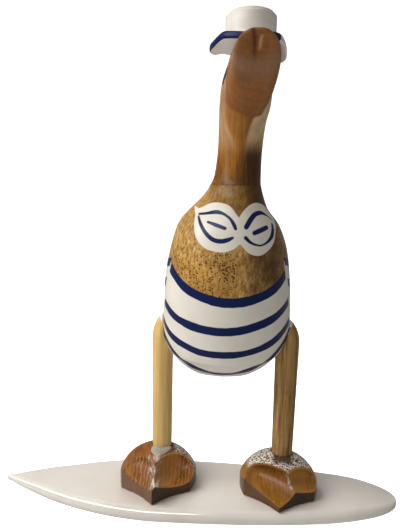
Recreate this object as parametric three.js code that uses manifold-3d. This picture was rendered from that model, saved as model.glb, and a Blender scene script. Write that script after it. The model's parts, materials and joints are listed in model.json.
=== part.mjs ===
// A carved wooden duck in a painted swimsuit, standing on a small surfboard.
// Millimetres, +Z up. The duck faces -Y and the board lies along X, nose at -X.
// The origin is the middle of the board's flat underside.
// "Right" and "left" are the duck's own: its right leg stands at the smaller X.

import * as THREE from 'three';
import { mergeVertices } from 'three/addons/utils/BufferGeometryUtils.js';
import Module from 'manifold-3d';

const wasm = await Module();
wasm.setup();

const GAP = 0.3;
const DEG = Math.PI / 180;

const BOARD = {
  length: 322, width: 79, thickness: 11, tipThickness: 5, taper: 45, noseLift: 6, tailLift: 3,
  liftLength: 60,
};
const BOARD_WIDEST_X = -28;

// The duck's midline stands a little towards the tail from the board's middle.
// Every place below is measured from that midline, with +X towards the duck's left.
const DUCK_X = 18;

// A foot is measured from the middle of its leg's socket. Its two hollows, right one first,
// are stretched balls that are cut out of it: their middles, half sizes, tilt and turn.
const FOOT = {
  halfWidth: 31.5, heel: 25, cornerHalf: 27.5, domeMiddle: -5, frontDrop: 0.4,
  socketFloor: 20, socketPlay: 0.8,
};
const FEET = {
  right: {
    x: -50.2, y: 12.8, shift: -2.2, turn: -0.5, toe: -45.3, corner: -25, domeHeight: 28.5,
    hollows: [
      { middle: [-12.3, -49.5, 23.1], halves: [18.6, 33.1, 14.4], tilt: 0.5, turn: 10.1 },
      { middle: [11, -47.3, 31.7], halves: [18.6, 44.6, 17.4], tilt: -23.5, turn: -18.6 },
    ],
  },
  left: {
    x: 50.1, y: 7.8, shift: -2.4, turn: -4, toe: -42.3, corner: -23, domeHeight: 29.5,
    hollows: [
      { middle: [7.9, -52.4, 17.4], halves: [18.9, 47.6, 13.2], tilt: 2, turn: 40 },
      { middle: [24.7, -55.9, 28.1], halves: [26.6, 47.9, 13.6], tilt: -16.2, turn: -4.8 },
    ],
  },
};

const LEG = { topZ: 155, shoulder: 23 };
const LEGS = {
  right: { base: 8.1, top: 8.7, lean: 1 },
  left: { base: 8.4, top: 9.8, lean: 0 },
};

// Rings of the body from just over the neck joint down to the belly:
// centre x, y, z, half width, half depth.
const JOINT_Z = 256;
const BODY_RINGS = [
  [4, -10.2, 264, 17.2, 17.2],
  [3.5, -10, 256, 18.8, 18.6],
  [2, -9.5, 248, 22.6, 22],
  [-0.5, -9, 239, 28.8, 28],
  [-0.7, -7.5, 228, 37.6, 36],
  [0, -4, 212, 43.6, 43],
  [-0.2, 1, 190, 48, 48],
  [0.1, 8, 167, 50, 50.5],
  [0, 15, 146, 51.2, 50.5],
  [-0.8, 18.5, 126, 46.7, 46],
  [-1.5, 18, 111.5, 35.8, 36],
  [-1.9, 16.5, 102, 21.5, 21.5],
  [-2, 15.5, 98.6, 3, 3],
];

// Rings of the tail from inside the body back to its tip.
const TAIL_RINGS = [
  [0.5, 30, 143, 40, 36],
  [1, 54, 143, 32, 27],
  [1.5, 72, 147, 22.5, 18],
  [1.5, 88, 154, 15, 11.5],
  [1.5, 99, 160, 9.5, 7],
  [1.5, 103.5, 162.5, 4, 3],
];

// Rings of the neck and head from just under the joint up to the crown.
const NECK_RINGS = [
  [2.5, -10, 250, 21.4, 21],
  [3.5, -10, 256.3, 18.6, 18.4],
  [4.7, -10, 264, 17, 17],
  [5.7, -9.5, 281, 16.2, 16.8],
  [6.7, -9, 300, 17, 18],
  [8.3, -8, 314, 18.6, 21],
  [9.3, -7.5, 329, 18.3, 23],
  [10.5, -7, 342, 15.8, 21],
  [10.8, -6, 351, 13.4, 17.5],
  [10.8, -5, 360, 8.5, 11.5],
];

// Sections of the bill from inside the head to its tip:
// y, underside z, top z, half width, centre x.
const BILL_SECTIONS = [
  [-12, 312, 346, 12.5, 8.9],
  [-23, 304.5, 348, 15.6, 9.5],
  [-30, 307, 347.5, 15.8, 10.9],
  [-40, 318, 346, 15.8, 12.7],
  [-52, 329, 345.5, 15.4, 13.1],
  [-63, 337, 345.6, 13.2, 12.7],
  [-71, 341.6, 346.2, 10, 12.3],
  [-75.5, 343.8, 346.9, 5.5, 12.3],
];

// The brim is bent down outside the flat share of its radius, more on the left than on the
// right, and sags a little in front.
const HAT = {
  x: 10.5, y: -3, z: 355, brimRadius: 28, brimThickness: 5, brimShift: -1.4,
  fall: 2.2, flat: 0.62, bent: 0.95, rightDroop: 3.8, leftDroop: 8, leftStart: -0.75, twist: 1.6,
  crownRadius: 18.5, ledge: 21, topRadius: 16.9, height: 23.6, edge: 1.2,
};

/** Makes a closed solid from a geometry whose shared vertices are not merged yet. */
function toSolid(geometry) {
  const bare = geometry.index ? geometry.toNonIndexed() : geometry.clone();
  bare.deleteAttribute('normal');
  bare.deleteAttribute('uv');
  const merged = mergeVertices(bare, 1e-3);
  return new wasm.Manifold(new wasm.Mesh({
    numProp: 3,
    vertProperties: new Float32Array(merged.attributes.position.array),
    triVerts: new Uint32Array(merged.index.array),
  }));
}

/** Gives a solid back as a geometry that a mesh can hold, without its tiniest edges. */
function toGeometry(solid) {
  const mesh = solid.simplify(0.02).getMesh();
  const geometry = new THREE.BufferGeometry();
  const positions = new THREE.BufferAttribute(new Float32Array(mesh.vertProperties), 3);
  geometry.setAttribute('position', positions);
  geometry.setIndex(new THREE.BufferAttribute(new Uint32Array(mesh.triVerts), 1));
  geometry.computeVertexNormals();
  return geometry;
}

/**
 * Bends a unit cylinder into a closed skin. place(along, angle, out) gives the point of the
 * ring at along (0 to 1), where out is 1 on the wall and 0 at the middle of an end.
 */
function skin(sides, steps, place) {
  const geometry = new THREE.CylinderGeometry(1, 1, 1, sides, steps);
  const position = geometry.attributes.position;
  const from = new THREE.Vector3();
  for (let i = 0; i < position.count; i += 1) {
    from.fromBufferAttribute(position, i);
    const out = Math.min(1, Math.hypot(from.x, from.z));
    const to = place(0.5 - from.y, Math.atan2(from.z, from.x), out);
    position.setXYZ(i, to.x, to.y, to.z);
  }
  return geometry;
}

/**
 * A skin through rings that stand square to a smooth line through the stations. ease can
 * crowd the rings towards one end.
 */
function ringSkin(stations, sides, steps, grow = 0, ease = (along) => along) {
  const line = new THREE.CatmullRomCurve3(
    stations.map(([x, y, z]) => new THREE.Vector3(x, y, z)), false, 'catmullrom');
  const halves = new THREE.CatmullRomCurve3(
    stations.map(([, , , side, depth]) => new THREE.Vector3(side, depth, 0)), false, 'catmullrom');
  const side = new THREE.Vector3(1, 0, 0);
  return skin(sides, steps, (along, angle, out) => {
    const t = ease(along);
    const tangent = line.getTangent(t);
    const depth = new THREE.Vector3().crossVectors(tangent, side).normalize();
    const half = halves.getPoint(t);
    return line.getPoint(t)
      .addScaledVector(side, Math.cos(angle) * out * (half.x + grow))
      .addScaledVector(depth, Math.sin(angle) * out * (half.y + grow));
  });
}

/** Smooth value through equally spaced knots, at t from 0 to 1. */
function smoothValue(values, t) {
  const curve = new THREE.CatmullRomCurve3(
    values.map((value) => new THREE.Vector3(value, 0, 0)), false, 'catmullrom');
  return curve.getPoint(t).x;
}

/** Plan outline of one side of the board: a pointed nose and a narrow round tail. */
function boardOutline() {
  const half = BOARD.length / 2;
  const wide = BOARD.width / 2;
  const tip = 0.8;
  const nose = new THREE.CubicBezierCurve(
    new THREE.Vector2(-half, tip), new THREE.Vector2(-half * 0.76, wide * 0.5),
    new THREE.Vector2(-half * 0.48, wide), new THREE.Vector2(BOARD_WIDEST_X, wide));
  const tail = new THREE.CubicBezierCurve(
    new THREE.Vector2(BOARD_WIDEST_X, wide), new THREE.Vector2(half * 0.26, wide),
    new THREE.Vector2(half, wide * 0.84), new THREE.Vector2(half, tip));
  const path = new THREE.CurvePath();
  path.add(nose);
  path.add(tail);
  return path;
}

/**
 * The board: flat on top and underneath, round along its edges, thinner and lifted at both
 * ends. Each ring has a straight top and bottom between two half circles.
 */
function makeBoard() {
  const outline = boardOutline();
  const half = BOARD.length / 2;
  const geometry = skin(20, 34, (along, angle, out) => {
    const point = outline.getPointAt(along);
    const edge = Math.min(1, (half - Math.abs(point.x)) / BOARD.taper);
    const thick = THREE.MathUtils.lerp(BOARD.tipThickness, BOARD.thickness,
      Math.sin(edge * Math.PI / 2));
    const toEnd = Math.max(0, 1 - (half - Math.abs(point.x)) / BOARD.liftLength);
    const lift = (point.x < 0 ? BOARD.noseLift : BOARD.tailLift) * toEnd * toEnd;
    const round = Math.min(thick / 2, point.y);
    const side = Math.abs(Math.cos(angle)) > 1e-6 ? Math.sign(Math.cos(angle)) : 0;
    const upright = THREE.MathUtils.clamp(
      Math.asin(Math.sin(angle)) * 1.25, -Math.PI / 2, Math.PI / 2);
    const y = out * side * (point.y - round + round * Math.cos(upright));
    const z = thick / 2 + out * Math.sin(upright) * thick / 2 + lift;
    return new THREE.Vector3(point.x, y, z);
  });
  return toSolid(geometry);
}

/** Plan outline of a foot: a round heel, nearly straight sides and a pointed toe. */
function footOutline({ toe, corner }) {
  const { halfWidth, heel, cornerHalf, domeMiddle } = FOOT;
  const shape = new THREE.Shape();
  shape.moveTo(0, toe);
  shape.lineTo(cornerHalf, corner);
  shape.quadraticCurveTo(halfWidth, corner * 0.6, halfWidth, domeMiddle);
  shape.bezierCurveTo(halfWidth, heel * 0.62, halfWidth * 0.55, heel, 0, heel);
  shape.bezierCurveTo(-halfWidth * 0.55, heel, -halfWidth, heel * 0.62, -halfWidth, domeMiddle);
  shape.quadraticCurveTo(-halfWidth, corner * 0.6, -cornerHalf, corner);
  shape.lineTo(0, toe);
  return shape;
}

/** The rounded top of a foot: half a ball at the heel that runs forward as a low vault. */
function footVault(domeHeight) {
  const { halfWidth, heel, domeMiddle, frontDrop } = FOOT;
  const ballLength = heel - domeMiddle + 2;
  const front = -60;
  return toSolid(skin(24, 12, (along, angle, out) => {
    const back = Math.min(1, along / 0.6);
    const y = along < 0.6
      ? domeMiddle + ballLength * Math.cos(back * Math.PI / 2)
      : THREE.MathUtils.lerp(domeMiddle, front, (along - 0.6) / 0.4);
    const size = out * Math.max(0.02, Math.sin(back * Math.PI / 2));
    const forward = Math.max(0, (domeMiddle - y) / (domeMiddle - front));
    const x = (halfWidth + 1.5) * size * Math.cos(angle);
    const z = domeHeight * (1 - frontDrop * forward) * size * Math.sin(angle);
    return new THREE.Vector3(x, y, z);
  }));
}

/** One gouged hollow of the web: a stretched ball, tilted and turned, to cut with. */
function footHollow({ middle, halves, tilt, turn }) {
  const ball = new THREE.SphereGeometry(1, 28, 18);
  ball.rotateX(Math.PI / 2);
  ball.scale(...halves);
  ball.rotateX(tilt * DEG);
  ball.rotateZ(turn * DEG);
  ball.translate(...middle);
  return toSolid(ball);
}

/** A foot: a vaulted block with two hollows for the web and a socket for the leg at its origin. */
function makeFootSolid(place, leg) {
  const block = new THREE.ExtrudeGeometry(footOutline(place), {
    depth: place.domeHeight + 2, bevelEnabled: false, curveSegments: 7,
  });
  const socketTop = 60;
  const socketRadius = leg.base + FOOT.socketPlay;
  const socket = new THREE.CylinderGeometry(socketRadius, socketRadius,
    socketTop - FOOT.socketFloor, 20);
  socket.rotateX(Math.PI / 2);
  socket.translate(0, 0, (socketTop + FOOT.socketFloor) / 2);
  return toSolid(block)
    .intersect(footVault(place.domeHeight))
    .subtract(footHollow(place.hollows[0]))
    .subtract(footHollow(place.hollows[1]))
    .translate([place.shift, 0, 0])
    .subtract(toSolid(socket));
}

/** A leg: a stick whose top is rounded off and scribed to the flank of the body. */
function makeLeg(place, leg, bodySide) {
  const bottom = BOARD.thickness + GAP + FOOT.socketFloor + GAP;
  const straight = LEG.topZ - LEG.shoulder;
  const stick = skin(18, 12, (along, angle, out) => {
    const up = Math.min(1, (1 - along) / 0.35);
    const over = Math.max(0, (0.65 - along) / 0.65);
    const z = along > 0.65
      ? THREE.MathUtils.lerp(bottom, straight, up)
      : straight + LEG.shoulder * Math.sin(over * Math.PI / 2);
    const shrink = Math.max(0.08, Math.cos(over * Math.PI / 2));
    const radius = THREE.MathUtils.lerp(leg.base, leg.top, Math.min(1, (z - bottom) / straight));
    const shift = bodySide * radius * (1 - shrink) * 0.8;
    return new THREE.Vector3(
      place.x + shift + out * radius * shrink * Math.cos(angle) - leg.lean * (z / straight),
      place.y - out * radius * shrink * Math.sin(angle), z);
  });
  return toSolid(stick).subtract(bodySolid(GAP));
}

/** The body and tail as one solid, or the same grown by a gap to cut its neighbours with. */
function bodySolid(grow = 0) {
  const towardsBelly = (along) => Math.sin(along * Math.PI / 2) ** 1.1;
  const body = toSolid(ringSkin(BODY_RINGS, 34, 30, grow, towardsBelly));
  const tail = toSolid(ringSkin(TAIL_RINGS, 24, 12, grow));
  return body.add(tail);
}

/** Everything under (side -1) or over (side 1) a level, as a block to cut with. */
function halfSpace(level, side) {
  const size = 600;
  const block = new THREE.BoxGeometry(size, size, size);
  block.translate(0, 0, level + side * size / 2);
  return toSolid(block);
}

/** The body, flat at the joint with the neck. */
function makeBody() {
  return bodySolid().intersect(halfSpace(JOINT_Z, -1));
}

/** The bill: sections square to Y with a flattened underside. */
function makeBill() {
  const column = (index) => BILL_SECTIONS.map((section) => section[index]);
  const [ys, lows, tops, halves, middles] = [0, 1, 2, 3, 4].map(column);
  return toSolid(skin(26, 18, (along, angle, out) => {
    const low = smoothValue(lows, along);
    const top = smoothValue(tops, along);
    const across = Math.sign(Math.cos(angle)) * Math.abs(Math.cos(angle)) ** 0.75;
    const up = Math.sign(Math.sin(angle)) * Math.abs(Math.sin(angle)) ** 0.85;
    return new THREE.Vector3(
      smoothValue(middles, along) + out * smoothValue(halves, along) * across,
      smoothValue(ys, along),
      (low + top) / 2 + out * up * (top - low) / 2);
  }));
}

/** The head and neck: flat at the joint and under the hat. */
function makeHead() {
  const neck = toSolid(ringSkin(NECK_RINGS.slice().reverse(), 28, 24));
  return neck
    .intersect(halfSpace(JOINT_Z + GAP, 1))
    .intersect(halfSpace(HAT.z - GAP, -1))
    .add(makeBill());
}

/** The hat: a turned crown with a ledge under its top, on a round brim that droops. */
function makeHat() {
  const { brimRadius, brimThickness, brimShift, crownRadius, topRadius, ledge, height, edge } = HAT;
  const brimEdge = brimThickness * 0.3;
  const profile = [
    [0, 0], [12, 0], [20, 0], [brimRadius - brimEdge, 0], [brimRadius, brimEdge],
    [brimRadius, brimThickness - brimEdge], [brimRadius - brimEdge, brimThickness],
    [crownRadius, brimThickness], [crownRadius, ledge - edge * 0.6],
    [crownRadius - edge * 0.6, ledge], [topRadius, ledge], [topRadius, height - edge],
    [topRadius - edge, height], [0, height + 0.5],
  ];
  const { smoothstep } = THREE.MathUtils;
  const hat = new THREE.LatheGeometry(profile.map(([r, z]) => new THREE.Vector2(r, z)), 36);
  hat.rotateX(Math.PI / 2);
  const position = hat.attributes.position;
  for (let i = 0; i < position.count; i += 1) {
    const across = position.getX(i) / brimRadius;
    const behind = position.getY(i) / brimRadius;
    const outside = Math.max(0, Math.hypot(position.getX(i), position.getY(i)) - crownRadius);
    const blend = outside / (brimRadius - crownRadius);
    const middle = HAT.fall * Math.max(0, 1 - (across / HAT.flat) ** 2) * Math.max(0, -behind);
    const droop = across < 0
      ? HAT.rightDroop
      : HAT.leftDroop * smoothstep(behind, HAT.leftStart, 0);
    const drop = middle + droop * smoothstep(Math.abs(across), HAT.flat, HAT.bent)
      + HAT.twist * across * Math.max(0, behind);
    position.setX(i, position.getX(i) + blend * brimShift);
    position.setZ(i, position.getZ(i) - blend * drop);
  }
  return toSolid(hat);
}

const paint = { roughness: 0.25, metalness: 0 };
const finishes = {
  surfboard: new THREE.MeshStandardMaterial({ color: 0xe6ddd4, ...paint }),
  teakFoot: new THREE.MeshStandardMaterial({ color: 0x9a6236, roughness: 0.45, metalness: 0 }),
  paleStick: new THREE.MeshStandardMaterial({ color: 0xcfac6c, roughness: 0.5, metalness: 0 }),
  darkStick: new THREE.MeshStandardMaterial({ color: 0x9c7a48, roughness: 0.5, metalness: 0 }),
  bambooRoot: new THREE.MeshStandardMaterial({ color: 0xa67c42, roughness: 0.5, metalness: 0 }),
  teakHead: new THREE.MeshStandardMaterial({ color: 0x8a5a32, roughness: 0.4, metalness: 0 }),
  hat: new THREE.MeshStandardMaterial({ color: 0xe9e0da, ...paint }),
};

/** A mesh named after its piece of the figure. */
function namedMesh(name, solid, material) {
  const mesh = new THREE.Mesh(toGeometry(solid), material);
  mesh.name = name;
  return mesh;
}

/** A foot stood on the board, turned a little and placed by its leg's socket. */
function makeFoot(name, place, leg) {
  const foot = namedMesh(name, makeFootSolid(place, leg), finishes.teakFoot);
  foot.position.set(place.x, place.y, BOARD.thickness + GAP);
  foot.rotation.z = place.turn * DEG;
  return foot;
}

const hat = namedMesh('hat', makeHat(), finishes.hat);
hat.position.set(HAT.x, HAT.y, HAT.z);

const duck = new THREE.Group();
duck.position.x = DUCK_X;
duck.add(
  makeFoot('right_foot', FEET.right, LEGS.right),
  makeFoot('left_foot', FEET.left, LEGS.left),
  namedMesh('right_leg', makeLeg(FEET.right, LEGS.right, 1), finishes.paleStick),
  namedMesh('left_leg', makeLeg(FEET.left, LEGS.left, -1), finishes.darkStick),
  namedMesh('body', makeBody(), finishes.bambooRoot),
  namedMesh('head_and_neck', makeHead(), finishes.teakHead),
  hat,
);

const figure = new THREE.Group();
figure.add(namedMesh('surfboard', makeBoard(), finishes.surfboard), duck);

export default figure;
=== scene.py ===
# %% [markdown]
# # A carved duck on a surfboard
#
# The figure is a bamboo-root duck: the body is the thick root of a bamboo, sanded and
# varnished, and the head, bill and feet are carved teak. A swimsuit is painted on the body.
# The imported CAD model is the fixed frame. Each of its pieces is made again here with many
# more faces, at the same size and place, so that it can carry paint, grain and soft edges.

# %% Load the frame
import json
import math

import bmesh
import bpy
import numpy as np
from mathutils import Matrix, Vector

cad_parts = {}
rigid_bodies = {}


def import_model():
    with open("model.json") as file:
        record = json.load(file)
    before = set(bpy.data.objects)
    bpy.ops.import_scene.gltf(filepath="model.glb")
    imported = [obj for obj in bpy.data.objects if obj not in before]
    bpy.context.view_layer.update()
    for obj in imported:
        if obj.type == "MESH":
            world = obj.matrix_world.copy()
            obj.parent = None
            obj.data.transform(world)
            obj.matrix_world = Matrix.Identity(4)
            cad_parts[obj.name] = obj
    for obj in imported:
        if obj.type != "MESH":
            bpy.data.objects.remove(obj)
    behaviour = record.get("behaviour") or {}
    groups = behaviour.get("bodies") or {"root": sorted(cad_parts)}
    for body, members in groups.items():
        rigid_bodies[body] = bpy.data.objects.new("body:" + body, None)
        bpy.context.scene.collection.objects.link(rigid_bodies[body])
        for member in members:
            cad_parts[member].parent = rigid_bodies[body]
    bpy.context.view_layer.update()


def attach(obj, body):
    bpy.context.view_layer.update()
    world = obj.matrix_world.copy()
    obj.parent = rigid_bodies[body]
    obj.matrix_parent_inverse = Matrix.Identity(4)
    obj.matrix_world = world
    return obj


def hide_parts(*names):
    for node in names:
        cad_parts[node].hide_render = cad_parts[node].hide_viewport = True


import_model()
MM = 0.001
# The duck stands a little towards the tail of the board.
DUCK_X = 18.0

# %% [markdown]
# ## Helpers for shapes
#
# All lengths are millimetres and are turned to metres only where a mesh is made. A carved
# piece is a skin pulled over rings, so two helpers are enough: a smooth curve through rows of
# numbers, and a closed tube through rings of points.

# %% A smooth curve and a closed tube
def smooth_rows(rows, t):
    """A smooth curve through rows of numbers, at every t from 0 to 1."""
    rows = np.asarray(rows, float)
    ends = np.vstack([2 * rows[0] - rows[1], rows, 2 * rows[-1] - rows[-2]])
    place = np.clip(t, 0, 1) * (len(rows) - 1)
    first = np.minimum(place.astype(int), len(rows) - 2)
    w = (place - first)[:, None]
    a, b, c, d = (ends[first + k] for k in range(4))
    return b + 0.5 * w * ((c - a) + w * ((2 * a - 5 * b + 4 * c - d) + w * (3 * b - a - 3 * c + d)))


def angles(count):
    """Evenly spaced angles once round a circle."""
    return np.linspace(0, 2 * math.pi, count, endpoint=False)


def closed_tube(rings):
    """Vertices and faces of a tube through rings, with a fan of triangles over each end."""
    steps, sides = rings.shape[:2]
    verts = np.vstack([rings.reshape(-1, 3), rings[0].mean(0), rings[-1].mean(0)])
    faces = []
    for i in range(sides):
        j = (i + 1) % sides
        for k in range(steps - 1):
            faces.append((k * sides + i, k * sides + j, (k + 1) * sides + j, (k + 1) * sides + i))
        faces.append((j, i, steps * sides))
        faces.append(((steps - 1) * sides + i, (steps - 1) * sides + j, steps * sides + 1))
    return verts, faces


def make_piece(name, verts, faces):
    """A smooth-shaded mesh object from points in mm, with its faces turned outwards."""
    mesh = bpy.data.meshes.new(name)
    mesh.from_pydata((np.asarray(verts) * MM).tolist(), [], faces)
    shape = bmesh.new()
    shape.from_mesh(mesh)
    bmesh.ops.remove_doubles(shape, verts=shape.verts, dist=0.01 * MM)
    bmesh.ops.recalc_face_normals(shape, faces=shape.faces)
    shape.to_mesh(mesh)
    shape.free()
    mesh.shade_smooth()
    piece = bpy.data.objects.new(name, mesh)
    bpy.context.collection.objects.link(piece)
    return piece


print("a curve through 0, 1 and 4, halfway:", smooth_rows([[0], [1], [4]], np.array([0.5])).tolist())

# %% [markdown]
# Modifiers are used like tools in a workshop: one cut or one pass of sandpaper at a time. Each
# is baked into the mesh at once, so the next tool works on the result.

# %% Use one modifier as a tool
def work(piece, kind, **settings):
    """Adds one modifier, keeps its result as the mesh and takes the modifier off."""
    tool = piece.modifiers.new(kind.lower(), kind)
    for key, value in settings.items():
        setattr(tool, key, value)
    seen = piece.evaluated_get(bpy.context.evaluated_depsgraph_get())
    mesh = bpy.data.meshes.new_from_object(seen)
    piece.modifiers.clear()
    old, piece.data = piece.data, mesh
    bpy.data.meshes.remove(old)
    mesh.name = piece.name
    mesh.shade_smooth()


def cut(piece, tool, operation="DIFFERENCE"):
    """Cuts, joins or keeps what is common with another piece, which is then thrown away."""
    work(piece, "BOOLEAN", object=tool, operation=operation, solver="EXACT")
    bpy.data.objects.remove(tool)


print("tools: saw and gouge by BOOLEAN, melting by REMESH, sandpaper by SMOOTH")

# %% [markdown]
# A finished piece stands for one node of the CAD model: it rides on the same body, hides the
# plain solid and gets a material of its own. A material can read a number that is kept on
# every vertex, so the paint below is measured on the mesh in millimetres and kept there.

# %% Finish a piece and write on its vertices
def finish_piece(piece, node, material):
    """The piece stands for its CAD node, rides with it and gets a material of its own."""
    piece.data.materials.clear()
    piece.data.materials.append(material)
    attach(piece, "root")
    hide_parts(node)
    print(f"{piece.name}: {len(piece.data.polygons)} faces")


def points(piece):
    """The piece's vertices in mm, measured from the duck's midline."""
    xyz = np.empty(len(piece.data.vertices) * 3)
    piece.data.vertices.foreach_get("co", xyz)
    return xyz.reshape(-1, 3) / MM - [DUCK_X, 0, 0]


def normals(piece):
    """The direction each vertex faces."""
    away = np.empty(len(piece.data.vertices) * 3)
    piece.data.vertices.foreach_get("normal", away)
    return away.reshape(-1, 3)


def store(piece, **zones):
    """Keeps numbers for every vertex, which a material can read by their names."""
    for name, values in zones.items():
        layer = piece.data.attributes.new(name, "FLOAT", "POINT")
        layer.data.foreach_set("value", np.asarray(values, np.float32))


print("one piece each for surfboard, body, head_and_neck, hat, two legs and two feet")

# %% [markdown]
# ## Helpers for finishes
#
# Colours are picked as sRGB hex values, because that is how an eye reads them off a sample,
# and the shader wants linear light. One small function adds a node with its settings and links.
#
# A texture's scale is how often it repeats in a metre. Two small sums turn a size in
# millimetres into that number, so that grain, pits and brush marks can be given as they are
# measured on wood.

# %% Colours and nodes
def linear(hex_colour):
    """An sRGB hex value as linear red, green, blue and alpha."""
    parts = [int(hex_colour[i:i + 2], 16) / 255 for i in (1, 3, 5)]
    return (*[c / 12.92 if c <= 0.04045 else ((c + 0.055) / 1.055) ** 2.4 for c in parts], 1.0)


def add(tree, kind, inputs=(), out=0, stops=(), **settings):
    """Adds one node with its settings, inputs (values or sockets) and ramp stops; gives an output."""
    node = tree.nodes.new("ShaderNode" + kind)
    for key, value in settings.items():
        setattr(node, key, value)
    for key, value in dict(inputs).items():
        if isinstance(value, bpy.types.NodeSocket):
            tree.links.new(value, node.inputs[key])
        else:
            node.inputs[key].default_value = value
    for i, (place, value) in enumerate(stops):
        ramp = node.color_ramp.elements
        stop = ramp[i] if i < len(ramp) else ramp.new(place)
        stop.position = place
        stop.color = value
    return node.outputs[out] if node.outputs else node


# A Mix node that lays one colour over another has its colours on sockets 6 and 7.
OVER = {"data_type": "RGBA", "out": 2}


def noise_scale(size):
    """The scale of a noise whose lumps or cells are this many mm wide, to two digits."""
    return float(f"{1000 / size:.2g}")


def wave_scale(gap):
    """The scale of a wave with lines this many mm apart; at scale 1 they are pi / 10 m apart."""
    return round(math.pi / 10 * 1000 / gap)


def new_material(name):
    """An empty node material and its tree."""
    material = bpy.data.materials.new(name)
    material.use_nodes = True
    material.node_tree.nodes.clear()
    return material, material.node_tree


print("scale of 2 mm grit:", noise_scale(2), "and of lines 3 mm apart:", wave_scale(3))

# %% [markdown]
# ## The surfboard
#
# A thin board with a pointed nose and a narrow round tail, rounded all along its rail and
# bent up a little at both ends. Its plan is two smooth curves that meet where it is widest.
# Each ring across it has a straight top and bottom between two half circles.

# %% Shape the board
LENGTH, WIDTH, THICK, TIP_THICK = 322.0, 79.0, 11.0, 5.0
WIDEST_X, TAPER, NOSE_LIFT, TAIL_LIFT, LIFT_LENGTH = -28.0, 45.0, 6.0, 3.0, 60.0
TIP_HALF, RAIL_STRETCH = 0.8, 1.15
# Handles of the two curves, as shares of half the length and half the width.
NOSE_HANDLES = ((-0.76, 0.5), (-0.48, 1.0))
TAIL_HANDLES = ((0.26, 1.0), (1.0, 0.84))


def bezier(a, b, c, d, t):
    """Points of a cubic curve with its four handles."""
    t = t[:, None]
    a, b, c, d = (np.array(p, float) for p in (a, b, c, d))
    return (1 - t) ** 3 * a + 3 * (1 - t) ** 2 * t * b + 3 * (1 - t) * t ** 2 * c + t ** 3 * d


def board_outline(count):
    """Half of the plan outline, from nose to tail, as evenly spaced x and y."""
    halves = np.array((LENGTH / 2, WIDTH / 2))
    widest = (WIDEST_X, WIDTH / 2)
    t = np.linspace(0, 1, 400)
    nose = bezier((-LENGTH / 2, TIP_HALF), *(halves * NOSE_HANDLES), widest, t)
    tail = bezier(widest, *(halves * TAIL_HANDLES), (LENGTH / 2, TIP_HALF), t)
    line = np.vstack([nose, tail[1:]])
    along = np.r_[0, np.cumsum(np.hypot(*np.diff(line, axis=0).T))]
    even = np.linspace(0, along[-1], count)
    return np.stack([np.interp(even, along, line[:, i]) for i in (0, 1)], 1)


def board_rings(count, sides):
    """Rings across the board, each a stadium laid flat."""
    line = board_outline(count)
    turn = angles(sides)
    # The angle is stretched and held at straight up and down, so rows lie where the rail ends.
    up = np.clip(np.arcsin(np.sin(turn)) * RAIL_STRETCH, -math.pi / 2, math.pi / 2)
    side = np.where(np.abs(np.cos(turn)) > 1e-6, np.sign(np.cos(turn)), 0)
    from_end = LENGTH / 2 - np.abs(line[:, 0])
    thick = TIP_THICK + (THICK - TIP_THICK) * np.sin(np.minimum(1, from_end / TAPER) * math.pi / 2)
    to_end = np.maximum(0, 1 - from_end / LIFT_LENGTH)
    lift = np.where(line[:, 0] < 0, NOSE_LIFT, TAIL_LIFT) * to_end ** 2
    rail = np.minimum(thick / 2, line[:, 1])
    y = side * ((line[:, 1] - rail)[:, None] + rail[:, None] * np.cos(up))
    z = thick[:, None] / 2 * (1 + np.sin(up)) + lift[:, None]
    x = np.broadcast_to(line[:, :1], y.shape)
    return np.stack([x, y, z], 2)


board = make_piece("white_surfboard", *closed_tube(board_rings(260, 52)))
print("board:", [round(v / MM, 1) for v in board.dimensions])

# %% [markdown]
# White gloss enamel, sprayed and polished under a coat of clear lacquer. Paint like this has
# an IOR near 1.5 and a smooth skin, so it shows soft reflections of the feet and a bright line
# along the rail. A faint unevenness in colour and height, in clouds about 4 cm wide, keeps it
# from looking like plastic.

# %% White gloss enamel
def white_enamel(name, colour, shade):
    """Polished white paint with a very slight mottle."""
    material, tree = new_material(name)
    place = add(tree, "TexCoord", out="Object")
    cloud = add(tree, "TexNoise", {"Vector": place, "Scale": noise_scale(42), "Detail": 4.0})
    tint = add(tree, "ValToRGB", {"Fac": cloud}, stops=[(0.35, linear(shade)), (0.65, linear(colour))])
    skin = add(tree, "Bump", {"Height": cloud, "Strength": 0.25, "Distance": 0.4 * MM})
    paint = add(tree, "BsdfPrincipled", {"Base Color": tint, "Roughness": 0.12, "IOR": 1.5,
                                         "Coat Weight": 1.0, "Coat Roughness": 0.05, "Normal": skin})
    add(tree, "OutputMaterial", {"Surface": paint})
    return material


finish_piece(board, "surfboard", white_enamel("gloss_white_enamel", "#e7dfd4", "#e0d7cb"))

# %% [markdown]
# ## The body
#
# The body is one bamboo root: rings stand square to a smooth line from the neck down to the
# belly, and a second skin makes the tail. A row is the middle of a ring (x, y, z), its half
# width and its half depth. The two skins are melted together by a voxel remesh, which rounds
# the inner corner the way sandpaper does. The belly, where the rings close to a point, gets
# more sanding, and the top is sawn flat where the neck is glued on.

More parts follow.
